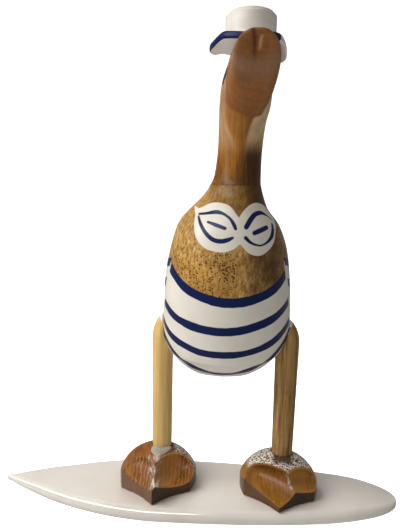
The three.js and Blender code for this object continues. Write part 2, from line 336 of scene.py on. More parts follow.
# %% Pull skins over rings
JOINT_Z, GAP = 256.0, 0.3
BODY_RINGS = [
    (4, -10.2, 264, 17.2, 17.2), (3.5, -10, 256, 18.8, 18.6), (2, -9.5, 248, 22.6, 22),
    (-0.5, -9, 239, 28.8, 28), (-0.7, -7.5, 228, 37.6, 36), (0, -4, 212, 43.6, 43),
    (-0.2, 1, 190, 48, 48), (0.1, 8, 167, 50, 50.5), (0, 15, 146, 51.2, 50.5),
    (-0.8, 18.5, 126, 46.7, 46), (-1.5, 18, 111.5, 35.8, 36), (-1.9, 16.5, 102, 21.5, 21.5),
    (-2, 15.5, 98.6, 3, 3)]
TAIL_RINGS = [
    (0.5, 30, 143, 40, 36), (1, 54, 143, 32, 27), (1.5, 72, 147, 22.5, 18),
    (1.5, 88, 154, 15, 11.5), (1.5, 99, 160, 9.5, 7), (1.5, 103.5, 162.5, 4, 3)]


def ring_tube(rows, sides, steps, grow=0.0, ease=None):
    """A tube through rings (x, y, z, half width, half depth) square to a smooth line."""
    t = np.linspace(0, 1, steps + 1)
    t = ease(t) if ease else t
    here = smooth_rows(rows, t)
    little = 1e-4
    way = smooth_rows(rows, t + little)[:, :3] - smooth_rows(rows, t - little)[:, :3]
    deep = np.cross(way, [1.0, 0, 0])
    deep /= np.linalg.norm(deep, axis=1, keepdims=True)
    turn = angles(sides)
    wide = np.cos(turn)[None, :, None] * (here[:, 3] + grow)[:, None, None] * np.array([1.0, 0, 0])
    high = np.sin(turn)[None, :, None] * (here[:, 4] + grow)[:, None, None] * deep[:, None, :]
    return closed_tube(here[:, None, :3] + wide + high + [DUCK_X, 0, 0])


def box(name, low, high):
    """A plain block from one corner to the other, to cut with."""
    corners = [[(low, high)[(i >> k) & 1][k] for k in range(3)] for i in range(8)]
    faces = [(0, 2, 3, 1), (4, 5, 7, 6), (0, 1, 5, 4), (2, 6, 7, 3), (0, 4, 6, 2), (1, 3, 7, 5)]
    return make_piece(name, corners, faces)


def towards_belly(t):
    """Crowds the rings where the belly closes."""
    return np.sin(t * math.pi / 2) ** 1.1


def body_shape(name):
    """Body and tail as one mesh of two overlapping skins."""
    verts, faces = ring_tube(BODY_RINGS, 120, 110, ease=towards_belly)
    more, others = ring_tube(TAIL_RINGS, 80, 44)
    joined = np.vstack([verts, more])
    return make_piece(name, joined, faces + [tuple(i + len(verts) for i in f) for f in others])


# How fine each piece is melted, in mm.
COARSEST = 0.4
VOXELS = {"body": max(1.0, COARSEST), "head": max(0.7, COARSEST), "foot": max(0.55, COARSEST)}
BELLY_Z, BELLY_FADE = 124.0, 12.0


def melt_and_sand(piece, voxel, passes):
    """Melts overlapping skins into one and sands off the stair steps that the voxels leave."""
    work(piece, "REMESH", mode="VOXEL", voxel_size=voxel * MM, use_smooth_shade=True)
    work(piece, "SMOOTH", factor=0.5, iterations=passes)


body = body_shape("bamboo_root_body")
melt_and_sand(body, VOXELS["body"], 6)
under = body.vertex_groups.new(name="underside")
for vertex in body.data.vertices:
    under.add([vertex.index], min(1, max(0, (BELLY_Z - vertex.co.z / MM) / BELLY_FADE)), "REPLACE")
work(body, "SMOOTH", factor=0.5, iterations=30, vertex_group="underside")
cut(body, box("saw", (-100, -100, JOINT_Z), (200, 100, 300)))
print("body:", [round(v / MM, 1) for v in body.dimensions])

# %% [markdown]
# ### Where the swimsuit is painted
#
# Paint follows the form, so its edges are worked out on the mesh itself: every vertex gets
# its distance in millimetres to the edge of each colour, and the material turns colour where
# that distance crosses zero. A stripe is where a tilted plane meets the root, which is the
# line a hand with a brush makes when it goes round a body. Front and back were painted
# separately, so the stripes don't meet at the sides and a white seam is left between them.

# %% Distances to the painted edges
# A stripe is its level, its rise per mm backwards and sideways, its curve and half its width.
FRONT_STRIPES = [(210.1, 0.786, -0.02, 0, 3.5), (172.9, 0.5, 0.075, 0, 3.4),
                 (152.9, 0.58, 0.067, 0, 3.3), (115.0, 0.3, 0.064, 0.0101, 3.9)]
BACK_STRIPES = [(196.5, -0.22, 0.03, 0, 2.9), (181.5, -0.22, 0.02, 0, 2.9),
                (163.0, -0.2, 0, 0, 2.9), (145.5, -0.16, 0, 0, 2.9), (128.0, -0.1, 0, 0, 2.9)]
# Heights, and there the y of the root's middle, or how far round from the front the seam is.
ROOT_MIDDLE = ((100, 146, 167, 190, 212, 228), (16, 15, 8, 1, -4, -7.5))
SEAM_DEGREES = ((150, 165, 200, 215), (78, 74, 64, 60))
SEAM_SHIFT_LEFT, SEAM_SHIFT_RIGHT = -1.5, 2
WHITE_BEFORE_SEAM, WHITE_BEHIND_SEAM = 1.3, 1.6
# Where the skin is nearly level a plane's distance would run away, so its slope is held.
LEAST_SLOPE = 0.25


def wobble(xyz, size, seed):
    """A slow wave in -1 to 1 that makes an edge look drawn by hand."""
    random = np.random.default_rng(seed)
    total = np.zeros(len(xyz))
    waves = 5
    for _ in range(waves):
        way = random.normal(size=3)
        way /= np.linalg.norm(way)
        length = size * random.uniform(0.7, 1.5)
        total += np.sin(xyz @ way * (2 * math.pi / length) + random.uniform(0, 6.3))
    return total / waves


def plane_distance(xyz, away, sheet):
    """Distance along the skin to z = level + backwards * y + sideways * x + curve * x * x."""
    level, backwards, sideways, curve = sheet[:4]
    x, y, z = xyz.T
    slope = np.stack([-sideways - 2 * curve * x, np.full(len(x), -backwards), np.ones(len(x))], 1)
    off = z - level - backwards * y - sideways * x - curve * x * x
    along = np.linalg.norm(slope - away * (away * slope).sum(1)[:, None], axis=1)
    return off / np.maximum(along, LEAST_SLOPE)


def seam_distance(xyz):
    """Distance in mm from the side seam, negative on the front."""
    x, y, z = xyz.T
    middle_y = np.interp(z, *ROOT_MIDDLE)
    seam = np.interp(z, *SEAM_DEGREES) + np.where(x > 0, SEAM_SHIFT_LEFT, SEAM_SHIFT_RIGHT)
    angle = np.degrees(np.arctan2(np.abs(x), middle_y - y))
    return np.radians(angle - seam) * np.hypot(x, y - middle_y)


def suit_distances(xyz, away):
    """Distances to the edge of the white suit and of its navy stripes, negative inside."""
    shaky = 0.5 * wobble(xyz, 22, 3) + 0.2 * wobble(xyz, 6, 4)
    thick = 0.35 * wobble(xyz, 30, 5)
    seam = seam_distance(xyz) + 0.4 * wobble(xyz, 14, 7)
    sides = []
    for stripes in (FRONT_STRIPES, BACK_STRIPES):
        off = [plane_distance(xyz, away, stripe) + shaky for stripe in stripes]
        inside = [np.abs(far) - stripe[4] for far, stripe in zip(off, stripes)]
        sides.append((off[0], np.min(inside, 0) - thick))
    (front_top, front), (back_top, back) = sides
    navy = np.minimum(np.maximum(front, seam + WHITE_BEFORE_SEAM),
                      np.maximum(back, WHITE_BEHIND_SEAM - seam))
    return np.where(seam < 0, front_top, back_top), navy


print("stripes:", len(FRONT_STRIPES), "in front and", len(BACK_STRIPES), "behind")

# %% [markdown]
# The top of the swimsuit is two rounded white cups with leaf-like navy strokes. Each cup has
# its own flat drawing in millimetres, held against the chest at its middle, with u to the
# duck's left and v up the chest. A stroke is a smooth line whose width changes along it, so
# its points are u, v and the width there.

# %% Draw the cups
# Points out of a cup's reach count as beyond it; a brush spreads a stroke a little.
CUP_REACH, BEYOND, BRUSH_SPREAD = 36.0, 40.0, 0.15
CUPS = {
    "right": {
        "middle": (-8.9, -40.0, 227.0), "faces": (-0.22, -0.9, 0.38),
        "outline": [(-19.9, 20.7), (-14.4, 17.0), (-4.3, 19.2), (6.8, 16.4), (12.8, 9.6), (16.0, 3.4),
                    (16.2, -9.0), (10.6, -15.5), (1.9, -17.4), (-8.2, -14.4), (-15.3, -6.7),
                    (-17.6, 4.1), (-17.6, 12.0)],
        "strokes": [
            [(-14.2, 11.9, 1.6), (-9, 11.2, 1.9), (-3.6, 11.3, 2.7), (0, 11.1, 2.8), (4.6, 9.3, 1.8),
             (8.7, 6, 1.7), (11.4, 1.7, 2.3), (12.6, -1.3, 1.8)],
            [(-14.5, 9.7, 1.3), (-12.7, 4.4, 2), (-9.8, -1.4, 2.4), (-6, -6.2, 2.6), (-2, -9.1, 2.8),
             (3, -10, 2.9), (7.4, -9, 2.6), (10.7, -7.4, 1.4)],
            [(-6.9, 4.2, 1.5), (-0.5, 1.3, 2.5), (5.4, -1.1, 2.2)]]},
    "left": {
        "middle": (19.9, -35.5, 226.0), "faces": (0.49, -0.76, 0.43),
        "outline": [(-15.4, 2.5), (-11.1, 12.6), (-2.7, 19.9), (10.2, 21.6), (17.3, 16.2), (16.8, 4),
                    (13.5, -8.1), (4.9, -17.2), (-3.9, -18), (-10.9, -13.4), (-14.6, -8.6)],
        "strokes": [
            [(-9.6, -0.6, 3.1), (-7, 4.9, 3.4), (-3.7, 10, 3.2), (0.1, 12.9, 3), (4.3, 14.3, 2.4),
             (9.6, 14.0, 1.1), (14.0, 12.6, 0.7)],
            [(-9.1, -7.9, 2.3), (-5.4, -10.3, 1.8), (-0.8, -11.3, 1.2), (3.7, -10.6, 1.1),
             (8.3, -7.2, 1.5), (12.2, -1.7, 2.8), (13.4, 3.8, 2.9), (13.3, 8.6, 1.8)],
            [(-3.2, -3.6, 2.9), (1.8, -0.3, 3.2), (7, 3.5, 2.9)]]}}


def inside_outline(uv, outline):
    """Distance to a closed smooth outline, negative inside."""
    wrapped = np.array(list(outline[-2:]) + list(outline) + list(outline[:2]), float)
    t = np.linspace(2 / (len(wrapped) - 1), (len(outline) + 2) / (len(wrapped) - 1), 140)
    line = smooth_rows(wrapped, t)
    a, b = line[:-1], line[1:]
    step = b - a
    w = ((uv[:, None] - a) * step).sum(2) / np.maximum((step ** 2).sum(1), 1e-9)
    far = np.linalg.norm(uv[:, None] - a - np.clip(w, 0, 1)[..., None] * step, axis=2).min(1)
    above = (a[:, 1] > uv[:, None, 1]) != (b[:, 1] > uv[:, None, 1])
    rise = np.where(np.abs(step[:, 1]) > 1e-9, step[:, 1], 1e-9)
    cross = a[:, 0] + (uv[:, None, 1] - a[:, 1]) / rise * step[:, 0]
    odd = (above & (uv[:, None, 0] < cross)).sum(1) % 2 == 1
    return np.where(odd, -far, far)


def cup_distances(xyz, cup):
    """Distances to one cup's white edge and to its navy strokes, negative inside."""
    middle, faces = np.array(cup["middle"]), np.array(cup["faces"])
    faces = faces / np.linalg.norm(faces)
    across = np.array([1.0, 0, 0]) - faces[0] * faces
    across /= np.linalg.norm(across)
    upward = np.cross(across, faces) * np.sign(np.cross(across, faces)[2])
    white, navy = np.full(len(xyz), BEYOND), np.full(len(xyz), BEYOND)
    near = np.where(np.linalg.norm(xyz - middle, axis=1) < CUP_REACH)[0]
    uv = np.stack([(xyz[near] - middle) @ across, (xyz[near] - middle) @ upward], 1)
    white[near] = inside_outline(uv, cup["outline"])
    for stroke in cup["strokes"]:
        line = smooth_rows(stroke, np.linspace(0, 1, 70))
        far = np.linalg.norm(uv[:, None] - line[:, :2], axis=2) - line[:, 2] / 2 - BRUSH_SPREAD
        navy[near] = np.minimum(navy[near], far.min(1))
    return white, navy


print("strokes on the cups:", sum(len(cup["strokes"]) for cup in CUPS.values()))

# %% [markdown]
# The root shows between the cups and the stripes and above them. It is golden at the duck's right
# and dark at its left, partly darker wood and partly painted shade on the side turned from the key
# light, and changes over along a line that leans and wanders a little. Pits crowd the golden part
# just under the cups, the shoulder above them is browner, and glue has darkened the last 5 mm under
# the neck. These zones are stored as numbers from 0 to 1. Each smoothstep says at which millimetre
# a zone begins and at which it is full.

# %% Zones of the root
def smoothstep(low, high, value):
    """0 below low, 1 above high, and a soft step between."""
    t = np.clip((value - low) / (high - low), 0, 1)
    return t * t * (3 - 2 * t)


def paint_body(piece):
    """Stores the distances and the zones of the root that a material needs."""
    xyz, away = points(piece), normals(piece)
    white, navy = suit_distances(xyz, away)
    for cup in CUPS.values():
        cup_white, cup_navy = cup_distances(xyz, cup)
        white = np.minimum(white, cup_white)
        navy = np.minimum(navy, cup_navy)
    store(piece, white_edge=white, navy_edge=navy)
    x, y, z = xyz.T
    lean = x + 0.05 * (z - 190) + 2.5 * wobble(xyz, 40, 11)
    front = smoothstep(20, -5, y)
    crowd = 0.5 * smoothstep(238, 216, z) + 0.6 * smoothstep(212, 197, z)
    # The dark side is darker wood plus painted shade, on the side turned from the key light.
    store(piece,
          dark_side=smoothstep(10, 20, lean) * (1 - 0.5 * smoothstep(30, 42, lean)) * front,
          golden=smoothstep(14, 4, lean) * smoothstep(212, 196, z) * front,
          upper=smoothstep(226, 240, z) * smoothstep(-24, -6, x) * front,
          pitted=smoothstep(13, 4, lean) * crowd * (0.62 + 0.3 * wobble(xyz, 25, 12)),
          joint=smoothstep(251, 256, z + 2.5 * wobble(xyz, 9, 14)))
    print("painted", int((white < 0).sum()), "of", len(xyz), "vertices white")


paint_body(body)

# %% [markdown]
# ### Varnished bamboo root with enamel paint
#
# A sanded bamboo root is honey brown and covered with small dark pits, the sockets of its
# rootlets, about 1 mm wide and 2 to 3 mm apart. Its fibres are a few tenths of a millimetre
# wide; the noise for them starts at 2 mm, and each of its six finer layers halves that.
# Varnish over it typically has an IOR near 1.5, no metallic part and a satin roughness near
# 0.3. The enamel lies on top as a thin skin that fills the pits, so it has its own colour and
# a small step at its edge. Both were then matched to the object: the specular level is well
# under its usual 0.5, because the picture shows no haze on the navy or on the dark wood.

# %% Bamboo root and swimsuit paint
# The last white is painted light, for the top of the hat and the underside of its brim.
NAVY, SUIT_WHITE, SUIT_SHADE, PAINTED_LIGHT_WHITE = "#0e1e4a", "#e7e0d3", "#d6cebf", "#fffdf8"
PIT_APART, EDGE_SOFTNESS = 1.67, 0.22


def stored(tree, name):
    """The number that is stored on the vertices under a name."""
    return add(tree, "Attribute", out="Fac", attribute_name=name)


def inside_edge(tree, name):
    """1 where a stored distance is negative, with an edge soft by a fraction of a mm."""
    return add(tree, "MapRange", {"Value": stored(tree, name), "From Min": EDGE_SOFTNESS,
                                  "From Max": -EDGE_SOFTNESS})


def stained(tree, base, *stains):
    """Lays stains over a colour; each is a colour, a stored zone or a socket, and a share."""
    for colour, zone, share in stains:
        amount = stored(tree, zone) if isinstance(zone, str) else zone
        part = add(tree, "Math", {0: amount, 1: share}, operation="MULTIPLY")
        base = add(tree, "Mix", {0: part, 6: base, 7: linear(colour)}, **OVER)
    return base


def root_wood(tree, place):
    """Bamboo root: golden and pitted on one side, dark wood and painted shade on the other; upright
    fibres.
    """
    stretched = add(tree, "Mapping", {"Vector": place, "Scale": (1.0, 1.0, 0.45)})
    fibre = add(tree, "TexNoise", {"Vector": stretched, "Scale": noise_scale(2.1), "Detail": 6.0,
                                   "Roughness": 0.7})
    patch = add(tree, "TexNoise", {"Vector": place, "Scale": noise_scale(25), "Detail": 6.0,
                                   "Roughness": 0.65, "Distortion": 0.6})
    wood = add(tree, "ValToRGB", {"Fac": fibre}, stops=[
        (0.38, linear("#805928")), (0.5, linear("#b1884a")), (0.62, linear("#cfa966"))])
    stain = add(tree, "MapRange", {"Value": patch, "From Min": 0.48, "From Max": 0.66})
    streak = add(tree, "MapRange", {"Value": patch, "From Min": 0.38, "From Max": 0.6,
                                    "To Min": 0.6, "To Max": 1.0})
    # Painted shade over the darker wood of the dark side.
    dark = add(tree, "Math", {0: stored(tree, "dark_side"), 1: streak}, operation="MULTIPLY")
    # A cell of the pattern gets a pit if its own random number is under the stored density.
    cell = {"Vector": place, "Scale": noise_scale(PIT_APART), "Randomness": 0.9}
    from_middle = add(tree, "TexVoronoi", cell)
    chance = add(tree, "TexVoronoi", cell, out="Color")
    kept = add(tree, "Math", {0: stored(tree, "pitted"), 1: chance}, operation="SUBTRACT")
    reach = add(tree, "MapRange", {"Value": kept, "From Min": -0.25, "From Max": 0.3, "To Max": 0.45})
    depth = add(tree, "Math", {0: reach, 1: from_middle}, operation="SUBTRACT")
    pit = add(tree, "MapRange", {"Value": depth, "From Min": -0.04, "From Max": 0.08})
    wood = stained(tree, wood, ("#c0883a", "golden", 0.35), ("#6d4719", stain, 0.45),
                   ("#6c4a1d", "upper", 0.7), ("#543816", "joint", 0.3), ("#4d3518", dark, 0.92),
                   ("#3a220c", pit, 0.88))
    relief = add(tree, "Math", {0: pit, 1: -0.6, 2: fibre}, operation="MULTIPLY_ADD")
    return wood, relief


def painted(name, wood_of, strokes=(1.0, 1.0, 1.0), white_paint=(SUIT_SHADE, SUIT_WHITE)):
    """Varnished wood with white and navy enamel by the stored distances."""
    material, tree = new_material(name)
    place = add(tree, "TexCoord", out="Object")
    wood, relief = wood_of(tree, place)
    white = inside_edge(tree, "white_edge")
    navy = inside_edge(tree, "navy_edge")
    strokes = add(tree, "Mapping", {"Vector": place, "Scale": strokes})
    cloud = add(tree, "TexNoise", {"Vector": strokes, "Scale": noise_scale(18.2), "Detail": 5.0})
    brush = add(tree, "TexNoise", {"Vector": strokes, "Scale": noise_scale(3.85), "Detail": 4.0})
    shade, light = white_paint
    suit = add(tree, "Mix", {0: cloud, 6: linear(shade), 7: linear(light)}, **OVER)
    # Painted light: the hat's top and the underside of its brim get a lighter white.
    suit = stained(tree, suit, (PAINTED_LIGHT_WHITE, "fresh_white", 0.95))
    colour = add(tree, "Mix", {0: white, 6: wood, 7: suit}, **OVER)
    colour = add(tree, "Mix", {0: navy, 6: colour, 7: linear(NAVY)}, **OVER)
    paint = add(tree, "Math", {0: white, 1: navy}, operation="MAXIMUM")
    dabs = add(tree, "Math", {0: cloud, 1: 1.6, 2: brush}, operation="MULTIPLY_ADD")
    height = add(tree, "Mix", {0: paint, 2: relief, 3: dabs})
    edge = add(tree, "Math", {0: paint, 1: 0.6, 2: height}, operation="MULTIPLY_ADD")
    edge = add(tree, "Math", {0: navy, 1: 0.4, 2: edge}, operation="MULTIPLY_ADD")
    skin = add(tree, "Bump", {"Height": edge, "Strength": 0.3, "Distance": 0.5 * MM})
    gloss = add(tree, "MapRange", {"Value": paint, "To Min": 0.34, "To Max": 0.3})
    coat = add(tree, "BsdfPrincipled", {"Base Color": colour, "Roughness": gloss, "IOR": 1.45,
                                        "Specular IOR Level": 0.2, "Normal": skin})
    add(tree, "OutputMaterial", {"Surface": coat})
    return material


finish_piece(body, "body", painted("varnished_bamboo_root_with_enamel", root_wood))

# %% [markdown]
# ## The legs
#
# Two sticks with their bark off, one pale and one brown. The top of each is rounded and then
# scribed to the root, which here is a cut with a copy of the body that is larger by the
# glue gap. The swimsuit paint runs a little over the top of each stick. The feet are carved
# later, but their places are needed here: a hollow is the middle of the stretched ball that
# cuts it, its three half sizes, its tilt and its turn. The rough dome of a heel, where painted
# glints go, begins at a height and a side, and the painted highlight on the ridge between the
# hollows has a width.

# %% Turn and scribe the sticks
FEET = {
    "right": {"x": -50.2, "y": 12.8, "shift": -2.2, "turn": -0.5, "toe": -45.3, "corner": -25,
              "dome": 28.5, "dark_patch_share": 0.0, "ridge": 11.0, "rough_from": 8, "rough_side": (11, 15),
              "hollows": [((-12.3, -49.5, 23.1), (18.6, 33.1, 14.4), 0.5, 10.1),
                          ((11, -47.3, 31.7), (18.6, 44.6, 17.4), -23.5, -18.6)]},
    "left": {"x": 50.1, "y": 7.8, "shift": -2.4, "turn": -4, "toe": -42.3, "corner": -23,
             "dome": 29.5, "dark_patch_share": 1.0, "ridge": 2.0, "rough_from": 17, "rough_side": (-60, -50),
             "hollows": [((7.9, -52.4, 17.4), (18.9, 47.6, 13.2), 2, 40),
                         ((24.7, -55.9, 28.1), (26.6, 47.9, 13.6), -16.2, -4.8)]}}
LEGS = {"right": {"base": 8.1, "top": 8.7, "lean": 1.0, "body_side": 1},
        "left": {"base": 8.4, "top": 9.8, "lean": 0.0, "body_side": -1}}
LEG_TOP_Z, SHOULDER, SOCKET_FLOOR = 155.0, 23.0, 20.0
# The share of the rings that go into the rounded top, and how far that leans to the body.
ROUND_SHARE, LEAN_IN = 0.65, 0.8
PAINTED_FROM_Z, NAVY_ABOVE = 139.5, 0.4


def stick(name, foot, leg):
    """A slightly uneven stick with a rounded top that leans in to the body."""
    bottom = THICK + GAP + SOCKET_FLOOR + GAP
    straight = LEG_TOP_Z - SHOULDER
    t = np.linspace(0, 1, 150)
    over = np.maximum(0, (ROUND_SHARE - t) / ROUND_SHARE)
    down = np.minimum(1, (1 - t) / (1 - ROUND_SHARE))
    z = np.where(t > ROUND_SHARE, bottom + (straight - bottom) * down,
                 straight + SHOULDER * np.sin(over * math.pi / 2))
    shrink = np.maximum(0.08, np.cos(over * math.pi / 2))
    radius = leg["base"] + (leg["top"] - leg["base"]) * np.minimum(1, (z - bottom) / straight)
    inward = leg["body_side"] * radius * (1 - shrink) * LEAN_IN
    middle = DUCK_X + foot["x"] + inward - leg["lean"] * z / straight
    turn = angles(64)
    wide = (radius * shrink)[:, None]
    x, y = middle[:, None] + wide * np.cos(turn), foot["y"] - wide * np.sin(turn)
    rings = np.stack([x, y, np.broadcast_to(z[:, None], x.shape)], 2)
    piece = make_piece(name, *closed_tube(rings))
    cut(piece, make_piece("scribe", *ring_tube(BODY_RINGS, 120, 110, GAP, towards_belly)))
    xyz, away = points(piece), normals(piece)
    white, navy = suit_distances(xyz, away)
    to_body = leg["body_side"] * (xyz[:, 0] - foot["x"])
    limit = PAINTED_FROM_Z - 1.6 * (to_body - 3) + 1.2 * wobble(xyz, 9, 13)
    bare = limit - xyz[:, 2]
    store(piece, white_edge=np.maximum(white, bare), navy_edge=np.maximum(navy, bare + NAVY_ABOVE))
    return piece


legs = {side: stick(f"{side}_stick_leg", FEET[side], LEGS[side]) for side in ("right", "left")}
for leg_piece in legs.values():
    print(leg_piece.name, [round(v / MM, 1) for v in leg_piece.dimensions])

# %% [markdown]
# Peeled and varnished sticks. The fibres run the whole length, so their noise, which starts
# at 2.6 mm and is halved five times, is stretched twenty times along Z. The pale one is close
# to bamboo skin; the brown one has darker streaks. The varnish is the same as on the root.

# %% Stick wood
def stick_wood(light, middle, dark, streak_share):
    """A maker of upright streaky wood in three colours."""
    def wood_of(tree, place):
        stretched = add(tree, "Mapping", {"Vector": place, "Scale": (1.0, 1.0, 0.05)})
        fibre = add(tree, "TexNoise", {"Vector": stretched, "Scale": noise_scale(2.6),
                                       "Detail": 5.0, "Roughness": 0.6})
        patch = add(tree, "TexNoise", {"Vector": place, "Scale": noise_scale(16.7),
                                       "Detail": 5.0, "Roughness": 0.62})
        wood = add(tree, "ValToRGB", {"Fac": fibre}, stops=[
            (0.32, linear(dark)), (0.5, linear(middle)), (0.66, linear(light))])
        stain = add(tree, "MapRange", {"Value": patch, "From Min": 0.52, "From Max": 0.7,
                                       "To Max": streak_share})
        wood = add(tree, "Mix", {0: stain, 6: wood, 7: linear(dark)}, **OVER)
        return wood, fibre
    return wood_of


finish_piece(legs["right"], "right_leg",
             painted("peeled_pale_stick", stick_wood("#e0bf7d", "#d6b26e", "#cba561", 0.15)))
finish_piece(legs["left"], "left_leg",
             painted("peeled_brown_stick", stick_wood("#b8935c", "#a07b48", "#6b4a22", 0.6)))

# %% [markdown]
# ## The head, neck and bill
#
# One carved piece of teak. The neck is a skin through rings like the body. The bill is a skin
# through upright sections, flattened underneath, that rises to its tip. Both are melted into
# one with a fine voxel size, so that the corner under the chin stays crisp. A section of the
# bill is its place along y, its underside and top, half its width and its middle x. The neck
# is sawn off again after the sanding, just above the body, because glue fills the joint.

# %% Carve the head
GLUE_LINE = 0.05
NECK_RINGS = [
    (2.5, -10, 250, 21.4, 21), (3.5, -10, 256.3, 18.6, 18.4), (4.7, -10, 264, 17, 17),
    (5.7, -9.5, 281, 16.2, 16.8), (6.7, -9, 300, 17, 18), (8.3, -8, 314, 18.6, 21),
    (9.3, -7.5, 329, 18.3, 23), (10.5, -7, 342, 15.8, 21), (10.8, -6, 351, 13.4, 17.5),
    (10.8, -5, 360, 8.5, 11.5)]
BILL_SECTIONS = [
    (-12, 312, 346, 12.5, 8.9), (-23, 304.5, 348, 15.6, 9.5), (-30, 307, 347.5, 15.8, 10.9),
    (-40, 318, 346, 15.8, 12.7), (-52, 329, 345.5, 15.4, 13.1), (-63, 337, 345.6, 13.2, 12.7),
    (-71, 341.6, 346.2, 10, 12.3), (-75.5, 343.8, 346.9, 5.5, 12.3)]
HAT = {"x": 10.5, "y": -3.0, "z": 355.0, "brim": 28.0, "rim": 5.0, "shift": -1.4, "fall": 2.2,
       "flat": 0.62, "bent": 0.95, "right_droop": 3.8, "left_droop": 8.0, "left_start": -0.75,
       "twist": 1.6, "crown": 18.5, "ledge": 21.0, "top": 16.9, "height": 23.6, "edge": 1.2}


def bill_rings(count, sides):
    """Upright sections of the bill, a little squarer than an ellipse."""
    y, low, top, half, middle = smooth_rows(BILL_SECTIONS, np.linspace(0, 1, count)).T[:, :, None]
    turn = angles(sides)
    across = np.sign(np.cos(turn)) * np.abs(np.cos(turn)) ** 0.75
    up = np.sign(np.sin(turn)) * np.abs(np.sin(turn)) ** 0.85
    x = DUCK_X + middle + half * across
    return np.stack([x, np.broadcast_to(y, x.shape), (low + top) / 2 + up * (top - low) / 2], 2)


head = make_piece("teak_head_and_bill", *ring_tube(NECK_RINGS[::-1], 110, 110))
cut(head, box("saw", (-100, -100, JOINT_Z - 3), (200, 100, HAT["z"] - GAP)), "INTERSECT")
cut(head, make_piece("bill", *closed_tube(bill_rings(90, 96))), "UNION")
melt_and_sand(head, VOXELS["head"], 3)
cut(head, box("saw", (-100, -100, 200), (200, 100, JOINT_Z + GLUE_LINE)))
print("head:", [round(v / MM, 1) for v in head.dimensions])

# %% [markdown]
# ### Where the head changes colour
#
# The heartwood is reddish brown in the bill. Paler wood shows on both flanks of the neck under
# the cheeks; the duck's left one is nearly white, partly sapwood and partly a painted sheen on
# that side, which is turned from the key light. Low on the neck it is golden with dark streaks
# at the duck's right and very dark at its left. The bill has a dark groove towards its tip with
# a painted highlight beside it, and a painted sheen, a soft band of reflected light, across its
# middle. The eyes are two drops of black paint on the sides of the head.

# %% Zones of the head
EYE_LEFT, EYE_RIGHT = (27.6, -13.0, 331.5), (-8.6, -14.0, 332.5)
EYE_HALF, EYE_REACH = (4.4, 6.2), 9.0


def zone_head(piece):
    """Stores the pale and dark zones, the bill, its groove and the painted highlight and sheen, and the
    eyes.
    """
    xyz = points(piece)
    x, y, z = xyz.T
    row = smooth_rows(NECK_RINGS, np.linspace(0, 1, 200))
    middle = np.interp(z, row[:, 2], row[:, 0])
    half = np.interp(z, row[:, 2], row[:, 3])
    # How far to the side a point is, as a share of half the neck's width there.
    across = (x - middle) / half + 0.1 * wobble(xyz, 30, 21)
    waist = 0.52 - 0.35 * smoothstep(305, 284, z)
    flank = smoothstep(waist, waist + 0.16, np.abs(across + 0.1)) * smoothstep(269, 300, z)
    chin = 303 + 0.036 * (x - 11) ** 2
    groove = np.exp(-((x - 11.5 - 0.12 * (y + 58) - 0.4 * wobble(xyz, 14, 23)) / 1.2) ** 2)
    # A painted highlight beside the groove, towards the bill's tip.
    streak = np.exp(-((x - 14.0 - 0.5 * wobble(xyz, 9, 24)) / 0.9) ** 2)
    # A painted sheen: a soft band of reflected light across the middle of the bill.
    sheen = np.exp(-((y + 52 + 1.5 * wobble(xyz, 16, 26)) / 6.5) ** 2)
    eye = np.full(len(xyz), EYE_REACH)
    for ex, ey, ez in (EYE_LEFT, EYE_RIGHT):
        size = np.hypot((y - ey) / EYE_HALF[0], (z - ez) / EYE_HALF[1])
        near = np.abs(x - ex) < EYE_REACH
        eye = np.where(near, np.minimum(eye, (size - 1) * EYE_HALF[0]), eye)
    store(piece,
          pale=flank * (across < 0),
          # The nearly white flank at the duck's left is pale sapwood plus a painted sheen.
          sapwood=flank * (across > 0),
          golden=smoothstep(0.25, -0.2, across) * smoothstep(286, 270, z),
          dark=smoothstep(-0.2, 0.4, across) * smoothstep(290, 275, z),
          bill=smoothstep(-20, -23, y) * smoothstep(chin - 1.5, chin + 0.5, z),
          groove=groove * smoothstep(-54, -62, y),
          streak=streak * smoothstep(-62, -66, y) * smoothstep(-75, -72, y),
          sheen=sheen * smoothstep(-36, -44, y),
          navy_edge=eye,
          joint=smoothstep(266, 257, z + 3 * wobble(xyz, 10, 25)))
    print("flanks:", int((flank > 0.5).sum()), "of", len(xyz), "vertices")


zone_head(head)

# %% [markdown]
# Oiled and varnished teak. Its growth rings are 2 to 5 mm apart; where a curved surface cuts
# through them they draw long arches. Rings 5 mm apart round a nearly upright axis behind the
# neck give that, bent by noise, with fibres that start at 3 mm and are halved six times on
# top. Varnished teak typically has an IOR near 1.5 and a satin roughness of 0.3; the specular
# level is matched to the picture as on the root.

